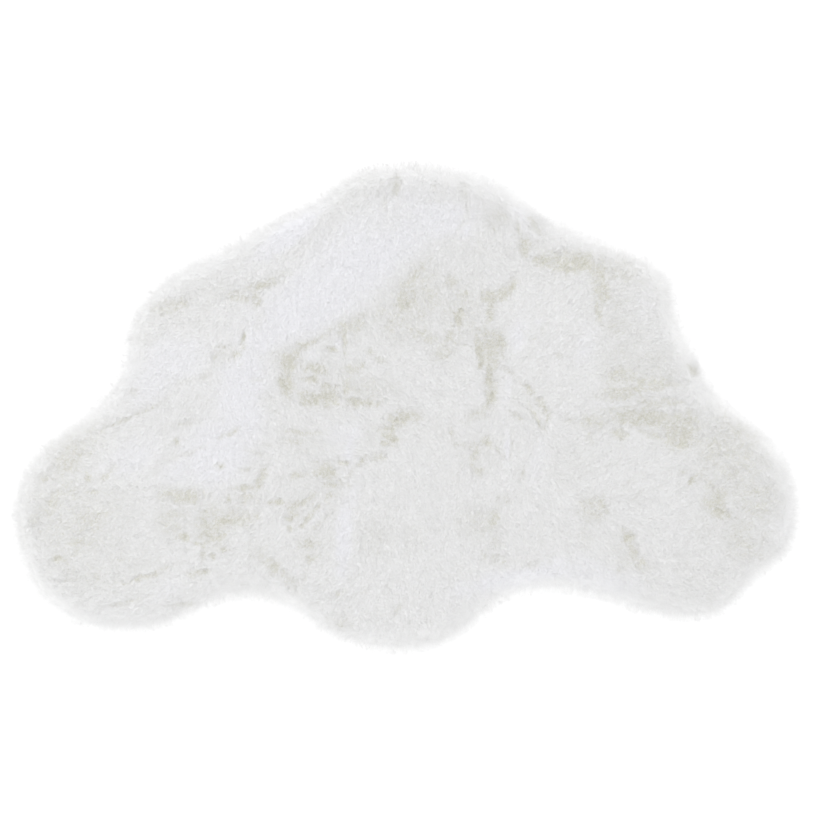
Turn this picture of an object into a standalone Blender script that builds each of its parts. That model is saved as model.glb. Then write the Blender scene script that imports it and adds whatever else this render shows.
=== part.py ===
"""A cloud-shaped faux fur rug, lying flat on the floor: its ground cloth and deep pile as one solid.

Metres, +Z up. The origin is the middle of the footprint, on the floor. +X runs along the rug's
length and +Y towards the cloud's crown.
"""

import math
import random

import bmesh
import bpy
from mathutils import Matrix, Vector, kdtree, noise
from mathutils.geometry import delaunay_2d_cdt, interpolate_bezier

MM = 0.001

# Driving sizes
RUG_LENGTH = 1000 * MM  # from lock tip to lock tip
PILE_TOP = 21 * MM  # where the pile stands undisturbed, above the floor
RIM_TOP = 9 * MM  # where the pile begins to round over, above the roots of the rim's locks
RIM_ROUND = 26 * MM  # how far in from those roots the pile reaches its full height
RIM_RINGS = (0.0, 0.22, 0.52, 0.9)  # shares of RIM_ROUND at which the rounding is built
LOCKS = 268  # round the whole rim
LOCK_REACH = 12 * MM  # the longest lock, from its root to its tip
SHORTEST_LOCK = 0.5  # share of LOCK_REACH
LOCK_SWAY = 0.32  # of the spacing between locks, to either side
CURVE_STEPS = 8  # between two points of the edge
TUFT_SPACING = 12 * MM  # between the points of the pile's top
TUFT_CLEARANCE = 0.7 * TUFT_SPACING  # from the innermost ring to the nearest of those points
LUMP_SIZE = 38 * MM  # a handful of pile
LUMP_RISE = 1.8 * MM
CURL_SIZE = 15 * MM  # a few tufts
CURL_RISE = 0.6 * MM
SHARP_ANGLE = 50  # degrees; softer edges are shaded smooth
SEED = 7

# The cloud's edge, clockwise from its crown, in thousandths of RUG_LENGTH. A smooth curve joins the points.
EDGE = (
    # place on the cloud, x, y
    ("crown", -9, 312),
    ("crown_right", 60, 305),
    ("crown_right_end", 115, 289),
    ("right_saddle", 165, 254),
    ("right_shoulder_start", 221, 224),
    ("right_shoulder_corner", 335, 165),
    ("right_nick", 346, 120),
    ("right_flank", 363, 82),
    ("right_notch", 392, 25),
    ("right_lobe_upper", 481, -61),
    ("right_lobe_tip", 500, -130),
    ("right_lobe_lower", 488, -182),
    ("right_lobe_corner", 442, -223),
    ("right_lobe_heel", 395, -265),
    ("right_lobe_inner", 301, -262),
    ("right_bay_end", 241, -242),
    ("right_bay_start", 137, -241),
    ("belly_right", 80, -283),
    ("belly_right_foot", 22, -309),
    ("belly_left_foot", -71, -300),
    ("left_bay_start", -170, -249),
    ("left_bay", -211, -244),
    ("left_lobe_inner", -331, -284),
    ("left_lobe_corner", -450, -256),
    ("left_lobe_lower", -485, -205),
    ("left_lobe_upper", -486, -84),
    ("left_notch", -395, 3),
    ("left_flank", -361, 49),
    ("left_flank_top", -349, 110),
    ("left_shoulder", -310, 160),
    ("left_shoulder_end", -256, 192),
    ("left_saddle", -172, 236),
    ("crown_left_end", -116, 263),
    ("crown_left", -64, 299),
)

# Where a hand has brushed the pile flat or up, or parted it, in millimetres and degrees.
BRUSHED = (
    # what it is, middle x, middle y, length, width, turn from +X, rise
    ("smoothed_band", -105, 165, 330, 105, 34, 2.7),
    ("band_lower_edge", -88, 118, 270, 26, 29, 1.8),
    ("hollow_under_band", -128, 68, 95, 48, 25, -3.8),
    ("hollow_under_band_end", -62, 22, 120, 42, -18, -3.5),
    ("crown_hollow", 20, 132, 78, 88, 60, -2.5),
    ("crown_furrow", 66, 122, 100, 22, 82, -2.4),
    ("crown_tick", -14, 286, 34, 16, 70, -2.8),
    ("long_parting_top", 130, 152, 66, 26, 38, -3.4),
    ("long_parting", 106, 82, 118, 32, 88, -4.5),
    ("long_parting_end", 112, 10, 74, 26, 80, -3.8),
    ("parting_foot", 95, -62, 64, 28, 96, -3.1),
    ("right_shoulder_hollow", 212, 188, 128, 34, -6, -3.8),
    ("right_flank_furrow", 258, 146, 112, 24, -62, -2.4),
    ("right_field", 176, 92, 130, 120, 0, 2.1),
    ("right_flank_hollow", 288, 42, 100, 26, -4, -2.5),
    ("right_lobe_hollow", 318, -22, 136, 34, -14, -4.2),
    ("right_lobe_ripple", 272, -84, 92, 18, 52, 2.1),
    ("right_lobe_ripple_inner", 300, -108, 84, 16, 50, 1.8),
    ("right_lobe_tip_hollow", 404, -122, 52, 46, -50, -3.1),
    ("right_lobe_nick", 292, -186, 62, 24, -58, -3.6),
    ("right_bay_hollow", 240, -132, 40, 56, 0, -2.5),
    ("belly_hollow", 104, -144, 62, 92, 20, -2.8),
    ("belly_field", 10, -170, 190, 130, 10, 1.7),
    ("belly_crest", -68, -84, 150, 18, 47, 2.5),
    ("middle_parting", -22, -28, 104, 30, 40, -4.1),
    ("middle_hollow", -108, -82, 90, 36, 12, -3.4),
    ("middle_tangle", -134, -128, 76, 30, 40, -3.1),
    ("left_ring", -196, -88, 66, 26, 60, -3.1),
    ("left_bay_furrow", -158, -206, 66, 22, -48, -3.4),
    ("left_lobe_hollow", -276, -138, 112, 70, -12, -2.9),
    ("left_lobe_nick", -282, -172, 60, 16, -24, -2.8),
    ("left_field", -262, -20, 150, 90, 68, 2.1),
    ("left_shoulder_hollow", -196, 148, 72, 26, 22, -3.4),
    ("left_shoulder_nick", -300, 132, 60, 22, -6, -2.5),
    ("left_notch_crease", -352, -14, 118, 12, 26, -2.9),
    ("left_lobe_tip_hollow", -444, -98, 56, 90, -40, -2.4),
    ("left_lobe_ripple", -354, -218, 110, 14, 14, -2.5),
    ("left_lobe_ripple_low", -360, -246, 90, 12, 20, -2.1),
)


def edge_curve():
    """The cloud's edge as a closed Bezier curve object, from which the shape is laid out."""
    data = bpy.data.curves.new("edge_guide", "CURVE")
    spline = data.splines.new("BEZIER")
    spline.bezier_points.add(len(EDGE) - 1)
    spline.use_cyclic_u = True
    for point, (_, x, y) in zip(spline.bezier_points, EDGE):
        point.co = Vector((x, y, 0)) * RUG_LENGTH / 1000
        point.handle_left_type = point.handle_right_type = "AUTO"
    guide = bpy.data.objects.new("edge_guide", data)
    guide.hide_render = True
    guide.display_type = "WIRE"
    bpy.context.scene.collection.objects.link(guide)
    bpy.context.view_layer.update()
    return guide


def along(points, share):
    """The point at this share of a closed line's length."""
    lengths = [(b - a).length for a, b in zip(points, points[1:] + points[:1])]
    rest = (share % 1.0) * sum(lengths)
    for start, end, length in zip(points, points[1:] + points[:1], lengths):
        if rest <= length:
            return start.lerp(end, rest / length)
        rest -= length
    return points[0].copy()


def even_ring(guide, count):
    """Points spaced evenly round the edge, each with the direction that points out of the rug there."""
    knots = guide.data.splines[0].bezier_points
    fine = []
    for a, b in zip(knots, list(knots[1:]) + [knots[0]]):
        fine += interpolate_bezier(a.co, a.handle_right, b.handle_left, b.co, CURVE_STEPS + 1)[:-1]
    ring = [along(fine, i / count) for i in range(count)]
    outward = []
    for before, after in zip(ring[-1:] + ring[:-1], ring[1:] + ring[:1]):
        tangent = (after - before).normalized()
        outward.append(Vector((-tangent.y, tangent.x, 0)))
    return ring, outward


def rounded_share(inset):
    """How much of the pile's height has been reached this far in from the roots of the rim's locks."""
    left = max(0.0, 1 - inset / RIM_ROUND)
    low = RIM_TOP / PILE_TOP
    return low + (1 - low) * math.sqrt(1 - left * left)


def brushed_rise(x, y):
    """What the brushed and parted places add to the pile at this point."""
    rise = 0.0
    for _, middle_x, middle_y, length, width, turn, height in BRUSHED:
        offset = Vector((x - middle_x * MM, y - middle_y * MM))
        offset.rotate(Matrix.Rotation(-math.radians(turn), 2))
        reach = (2 * offset.x / (length * MM)) ** 2 + (2 * offset.y / (width * MM)) ** 2
        rise += height * MM * math.exp(-reach)
    return rise


def pile_top(x, y, inset):
    """The height of the pile's top above the floor."""
    lump = noise.noise(Vector((x, y, 0)) / LUMP_SIZE) * LUMP_RISE
    curl = noise.noise(Vector((x, y, LUMP_SIZE)) / CURL_SIZE) * CURL_RISE
    return rounded_share(inset) * (PILE_TOP + brushed_rise(x, y) + lump + curl)


def laid_out(ring, outward):
    """Points of the pile's top, as (x, y, inset): rings where it rounds over, then an even field of tufts."""
    insets = [RIM_ROUND * share for share in RIM_RINGS]
    points = []
    for order, inset in enumerate(insets):
        for i, (root, out) in enumerate(zip(ring, outward)):
            if order % 2:  # each ring sits half a lock round from the one before it
                j = (i + 1) % len(ring)
                root, out = root.lerp(ring[j], 0.5), out.lerp(outward[j], 0.5)
            points.append((root.x - out.x * inset, root.y - out.y * inset, inset))

    tree = kdtree.KDTree(len(ring))
    for i, root in enumerate(ring):
        tree.insert(root, i)
    tree.balance()
    row_step = TUFT_SPACING * math.sqrt(3) / 2
    rows = int(RUG_LENGTH / row_step)
    columns = int(RUG_LENGTH / TUFT_SPACING)
    for row in range(-rows // 2, rows // 2):
        for column in range(-columns // 2, columns // 2):
            x = (column + 0.5 * (row % 2)) * TUFT_SPACING
            y = row * row_step
            nearest, i, _ = tree.find((x, y, 0))
            inset = (nearest - Vector((x, y, 0))).dot(outward[i])
            if inset > insets[-1] + TUFT_CLEARANCE:
                points.append((x, y, inset))
    return points


def add_top(mesh, points, count):
    """Triangles through the points, inside the ring that the first of them make."""
    flat = [Vector((x, y)) for x, y, _ in points]
    corners, _, triangles, sources, _, _ = delaunay_2d_cdt(flat, [], [list(range(count))], 1, 1e-6)
    verts = []
    for corner, source in zip(corners, sources):
        inset = points[source[0]][2]
        verts.append(mesh.verts.new((corner.x, corner.y, pile_top(corner.x, corner.y, inset))))
    for triangle in triangles:
        mesh.faces.new([verts[i] for i in triangle])


def add_wall_and_base(mesh):
    """Extrudes the top's edge down to the floor, closes it with one flat face and returns the wall."""
    rim = [edge for edge in mesh.edges if edge.is_boundary]
    made = bmesh.ops.extrude_edge_only(mesh, edges=rim)["geom"]
    wall = [item for item in made if isinstance(item, bmesh.types.BMFace)]
    foot = [item for item in made if isinstance(item, bmesh.types.BMEdge) and item.is_boundary]
    for vert in {vert for edge in foot for vert in edge.verts}:
        vert.co.z = 0
    bmesh.ops.contextual_create(mesh, geom=foot)
    return wall


def bearing(face):
    """The direction in which a face of the wall lies, seen from the middle of the rug."""
    middle = face.calc_center_median()
    return math.atan2(middle.y, middle.x)


def add_locks(mesh, wall):
    """Draws each face of the wall out to a point that rests on the floor: a lock of the pile."""
    chance = random.Random(SEED)
    for face in sorted(wall, key=bearing):
        floor_ends = [vert.co.copy() for vert in face.verts if vert.co.z == 0]
        side = floor_ends[1] - floor_ends[0]
        middle = (floor_ends[0] + floor_ends[1]) / 2
        normal = face.normal.copy()
        normal.z = 0
        reach = LOCK_REACH * chance.uniform(SHORTEST_LOCK, 1)
        sway = side * chance.uniform(-LOCK_SWAY, LOCK_SWAY)
        tip = bmesh.ops.poke(mesh, faces=[face])["verts"][0]
        tip.co = middle + normal.normalized() * reach + sway
        tip.co.z = 0


def centred(mesh):
    """Moves the footprint's middle to the origin and gives it its full length."""
    low = Vector([min(vert.co[axis] for vert in mesh.verts) for axis in range(3)])
    high = Vector([max(vert.co[axis] for vert in mesh.verts) for axis in range(3)])
    middle = (low + high) / 2
    stretch = RUG_LENGTH / (high.x - low.x)
    bmesh.ops.translate(mesh, verts=mesh.verts, vec=(-middle.x, -middle.y, 0))
    bmesh.ops.scale(mesh, verts=mesh.verts, vec=(stretch, stretch, 1))


def fur_material():
    """Warm white polyester fur: matt, with a faint sheen."""
    material = bpy.data.materials.new("white_faux_fur")
    material.use_nodes = True
    shader = material.node_tree.nodes["Principled BSDF"]
    shader.inputs["Base Color"].default_value = (0.80, 0.80, 0.78, 1)
    shader.inputs["Roughness"].default_value = 0.95
    shader.inputs["Metallic"].default_value = 0.0
    shader.inputs["Sheen Weight"].default_value = 0.3
    return material


def fur_rug():
    """The rug: a lumpy slab of pile on its cloth, with locks round the rim."""
    guide = edge_curve()
    edge, outward = even_ring(guide, LOCKS)
    roots = [point - out * LOCK_REACH for point, out in zip(edge, outward)]
    mesh = bmesh.new()
    add_top(mesh, laid_out(roots, outward), len(roots))
    wall = add_wall_and_base(mesh)
    bmesh.ops.recalc_face_normals(mesh, faces=mesh.faces)
    add_locks(mesh, wall)
    centred(mesh)
    bmesh.ops.recalc_face_normals(mesh, faces=mesh.faces)
    data = bpy.data.meshes.new("fur_rug")
    mesh.to_mesh(data)
    mesh.free()
    data.materials.append(fur_material())
    data.shade_smooth()
    data.set_sharp_from_angle(angle=math.radians(SHARP_ANGLE))
    rug = bpy.data.objects.new("fur_rug", data)
    bpy.context.scene.collection.objects.link(rug)
    return rug


for thing in list(bpy.data.objects):
    bpy.data.objects.remove(thing)
fur_rug()
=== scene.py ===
import math

import bmesh
import bpy
import numpy as np
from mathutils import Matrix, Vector, kdtree
from mathutils.bvhtree import BVHTree


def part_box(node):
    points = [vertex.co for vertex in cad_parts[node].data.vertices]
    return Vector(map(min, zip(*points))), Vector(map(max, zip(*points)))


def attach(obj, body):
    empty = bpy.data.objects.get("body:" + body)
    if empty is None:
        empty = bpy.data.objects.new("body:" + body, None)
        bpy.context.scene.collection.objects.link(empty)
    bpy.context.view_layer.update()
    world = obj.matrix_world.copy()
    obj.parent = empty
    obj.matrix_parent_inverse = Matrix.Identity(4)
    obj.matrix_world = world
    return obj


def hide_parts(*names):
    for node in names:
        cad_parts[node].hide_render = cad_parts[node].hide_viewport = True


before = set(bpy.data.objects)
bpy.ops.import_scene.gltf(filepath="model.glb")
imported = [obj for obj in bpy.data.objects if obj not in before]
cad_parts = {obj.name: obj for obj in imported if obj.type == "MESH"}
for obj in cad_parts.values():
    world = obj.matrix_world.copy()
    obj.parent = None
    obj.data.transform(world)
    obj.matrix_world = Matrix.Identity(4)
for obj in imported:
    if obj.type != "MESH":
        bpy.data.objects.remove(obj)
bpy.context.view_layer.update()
bpy.ops.object.select_all(action="DESELECT")
scene = bpy.context.scene
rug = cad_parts["fur_rug"]
low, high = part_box("fur_rug")

# ---- The camera
# It looks straight down at the rug from about two and a half metres, with the cloud's crown towards
# the top of the picture, and takes in a little over a metre of floor.
MM = 0.001
VIEW_WIDTH = 1046.9 * MM
VIEW_MIDDLE = (6.4 * MM, -3.5 * MM)
LENS = 85.0
SENSOR = 36.0

bpy.ops.object.camera_add(location=(*VIEW_MIDDLE, VIEW_WIDTH * LENS / SENSOR), rotation=(0, 0, 0))
camera = bpy.context.active_object
camera.data.lens = LENS
camera.data.sensor_width = SENSOR
scene.camera = camera
scene.view_settings.view_transform = "Standard"

# ---- The ground cloth
# One knitted polyester cloth with a plain back, cut to the cloud's outline. All the pile grows from it
# and hides its raw edge. It is the solid's flat underside without the points of the locks on the rim,
# drawn up to the thickness of the cloth.
CLOTH_THICKNESS = 2 * MM
CLOTH_WHITE = "#dedbd3"
CLOTH_SHADOW = "#c9c5bb"
KNIT_SCALE = 1 / (1.6 * MM * 2 * math.pi)  # of the wave textures: it makes loops about 3 mm wide
KNIT_DISTORTION = {"X": 1.5, "Y": 1.0}
KNIT_RELIEF = 0.3 * MM
JOIN_WITHIN = 0.01 * MM
ON_FLOOR = 0.05 * MM
FLAT_WITHIN = math.radians(0.5)


def linear(colour):
    """An sRGB hex colour as linear red, green, blue and alpha."""
    parts = [int(colour[i : i + 2], 16) / 255 for i in (1, 3, 5)]
    return [p / 12.92 if p <= 0.04045 else ((p + 0.055) / 1.055) ** 2.4 for p in parts] + [1.0]


def add_node(tree, kind, settings=None, links=None):
    """Adds a node with its settings and input values, and links its inputs to other nodes' outputs."""
    node = tree.nodes.new(kind)
    for name, value in (settings or {}).items():
        if isinstance(name, str) and hasattr(node, name):
            setattr(node, name, value)
        else:
            node.inputs[name].default_value = value
    for name, output in (links or {}).items():
        tree.links.new(output, node.inputs[name])
    return node


def merged_copy(node, name):
    """A copy of a CAD node's mesh, active and in edit mode, with its loose triangles joined up."""
    piece = node.copy()
    piece.data = node.data.copy()
    piece.name = piece.data.name = name
    piece.parent = None
    for key in list(piece.keys()):
        del piece[key]
    scene.collection.objects.link(piece)
    bpy.ops.object.select_all(action="DESELECT")
    piece.select_set(True)
    bpy.context.view_layer.objects.active = piece
    bpy.ops.object.mode_set(mode="EDIT")
    bpy.ops.mesh.select_mode(type="VERT")
    bpy.ops.mesh.select_all(action="SELECT")
    bpy.ops.mesh.remove_doubles(threshold=JOIN_WITHIN)
    bpy.ops.mesh.select_all(action="DESELECT")
    return piece


def select_where(piece, wanted):
    """Selects the vertices of the piece in edit mode for which wanted is true."""
    mesh = bmesh.from_edit_mesh(piece.data)
    for vert in mesh.verts:
        vert.select_set(wanted(vert))
    mesh.select_flush_mode()
    bmesh.update_edit_mesh(piece.data)


def lock_tip(vert):
    """True at the point of a lock on the rim, where four edges meet on the floor."""
    return vert.co.z < ON_FLOOR and len(vert.link_edges) == 4


cloth = merged_copy(rug, "ground_cloth")
select_where(cloth, lock_tip)
bpy.ops.mesh.delete(type="VERT")
select_where(cloth, lambda vert: vert.co.z > ON_FLOOR)
bpy.ops.mesh.delete(type="VERT")
bpy.ops.mesh.select_all(action="SELECT")
bpy.ops.mesh.dissolve_limited(angle_limit=FLAT_WITHIN)
bpy.ops.mesh.select_all(action="SELECT")
bpy.ops.mesh.extrude_region_move(TRANSFORM_OT_translate={"value": (0, 0, CLOTH_THICKNESS)})
bpy.ops.mesh.select_all(action="SELECT")
bpy.ops.mesh.normals_make_consistent(inside=False)
bpy.ops.object.mode_set(mode="OBJECT")


def cloth_material():
    """Warp-knitted polyester: rows of fine loops, so an even, faintly ribbed, dull surface."""
    material = bpy.data.materials.new("knitted_ground_cloth")
    material.use_nodes = True
    tree = material.node_tree
    shader = tree.nodes["Principled BSDF"]
    place = add_node(tree, "ShaderNodeTexCoord")
    wales, courses = (
        add_node(
            tree,
            "ShaderNodeTexWave",
            {"bands_direction": axis, "Scale": KNIT_SCALE, "Distortion": distortion},
            {"Vector": place.outputs["Object"]},
        )
        for axis, distortion in KNIT_DISTORTION.items()
    )
    crossed = {0: wales.outputs[0], 1: courses.outputs[0]}
    loops = add_node(tree, "ShaderNodeMath", {"operation": "MULTIPLY"}, crossed)
    colour = add_node(tree, "ShaderNodeMix", {"data_type": "RGBA"}, {0: loops.outputs[0]})
    colour.inputs["A"].default_value = linear(CLOTH_SHADOW)
    colour.inputs["B"].default_value = linear(CLOTH_WHITE)
    tree.links.new(colour.outputs["Result"], shader.inputs["Base Color"])
    relief = {"Strength": 0.5, "Distance": KNIT_RELIEF}
    bump = add_node(tree, "ShaderNodeBump", relief, {"Height": loops.outputs[0]})
    tree.links.new(bump.outputs[0], shader.inputs["Normal"])
    shader.inputs["Roughness"].default_value = 0.95
    return material


cloth.data.materials.clear()
cloth.data.materials.append(cloth_material())
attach(cloth, "root")

# ---- How the pile lies
# Soft, dense fur keeps the marks of the hands that smoothed it: stroked flat it has a bright, cool
# painted highlight, and parted it is sunk and turned aside, with painted shade for its darker, warmer
# depth. The tables place these marks in millimetres and degrees, and give the maps of height, lie and
# tone that all the pieces of the pile share.
MAP_STEP = 1.0 * MM
MAP_MARGIN = 30 * MM
RAY_HEIGHT = 100 * MM
EDGE_STEP = 0.8 * MM
EDGE_BAND = 1.5 * MM
RIM_SKIRT = 18 * MM
SKIRT_CURVE = 0.85
TOP_EVENING = 24
EDGE_EVENING = 6
LAY = (
    # place, x, y, reach, heading of the tips in degrees from +X
    ("crown", 0, 250, 110, 264),
    ("band", -100, 160, 110, 248),
    ("left_flank", -215, 10, 100, 266),
    ("left_shoulder", -280, 125, 70, 195),
    ("left_lobe", -410, -110, 110, 186),
    ("left_bay", -290, -200, 80, 200),
    ("tangle", -110, 40, 60, 310),
    ("combed", -80, -25, 50, 356),
    ("middle", 20, 40, 80, 352),
    ("olive_field", 20, 135, 60, 282),
    ("right_field", 185, 90, 80, 62),
    ("right_shoulder", 265, 160, 70, 12),
    ("right_flank", 300, 50, 70, 350),
    ("right_lobe", 320, -90, 90, 44),
    ("right_tip", 450, -120, 80, 356),
    ("right_bay", 260, -190, 80, 300),
    ("belly", 10, -190, 110, 278),
    ("belly_left", -110, -220, 60, 214),
    ("fork", 110, -50, 60, 250),
)
PAINTED_HIGHLIGHTS = (
    # stroked places with a cool painted highlight: place, x, y, length, width, turn, strength
    ("crown_band", 42, 240, 90, 46, 0, 0.9),
    ("crown_curl", 78, 228, 20, 10, 60, 1.2),
    ("band_top", -46, 200, 170, 100, 40, 1.0),
    ("band_low", -120, 137, 170, 80, 35, 1.0),
    ("band_foot", -183, 91, 70, 44, 60, 0.9),
    ("flank", -207, 18, 140, 62, 85, 1.0),
    ("flank_low", -240, -57, 90, 74, 60, 1.0),
    ("flank_low_west", -284, -79, 50, 30, 20, 0.7),
    ("flank_west", -300, 60, 100, 56, 8, 0.7),
    ("flank_notch", -325, 28, 60, 40, 30, 0.6),
    ("lobe_upper", -364, -72, 90, 40, 30, 0.75),
    ("shoulder_gleam", -203, 125, 10, 8, 0, 0.35),
    ("lobe_foot", -308, -232, 44, 24, 20, 0.4),
    ("belly_streak", -79, -165, 84, 18, 86, 1.2),
    ("belly_streak_top", -71, -122, 50, 12, 70, 0.6),
    ("tuft_gleam_a", -111, -122, 34, 6, 45, 0.7),
    ("tuft_gleam_b", -111, -137, 32, 5, 43, 1.25),
    ("tangle_gleam", -115, 67, 20, 12, 20, 0.7),
    ("tangle_curl", -86, 85, 9, 20, 0, 0.9),
    ("middle_field", -77, -32, 60, 26, 0, 0.5),
    ("middle_gleam", -71, -49, 56, 12, 78, 0.95),
    ("parting_gleam", 142, 92, 40, 18, 80, 0.8),
    ("parting_foot_gleam", 129, 18, 46, 10, 85, 0.6),
    ("fork_gleam", 129, -52, 28, 6, 86, 1.90),
    ("right_gleam", 168, -69, 50, 26, 80, 0.45),
    ("right_field_gleam", 231, 79, 44, 26, 70, 0.5),
    ("right_flank_gleam", 302, 129, 30, 40, 0, 0.70),
    ("flank_crease_gleam", 274, 8, 50, 5, 5, 0.7),
    ("left_saddle_rim", -148, 223, 80, 24, 38, 1.6),
    ("right_saddle_rim", 150, 238, 44, 20, -60, 0.50),
    ("bay_gleam", 145, -215, 150, 24, 12, 1.0),
    ("bay_gleam_east", 246, -214, 100, 36, -12, 0.6),
    ("right_edge_gleam", 462, -166, 70, 40, 65, 0.7),
    ("field_dot_a", 168, 110, 7, 6, 0, 0.80),
)
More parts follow.
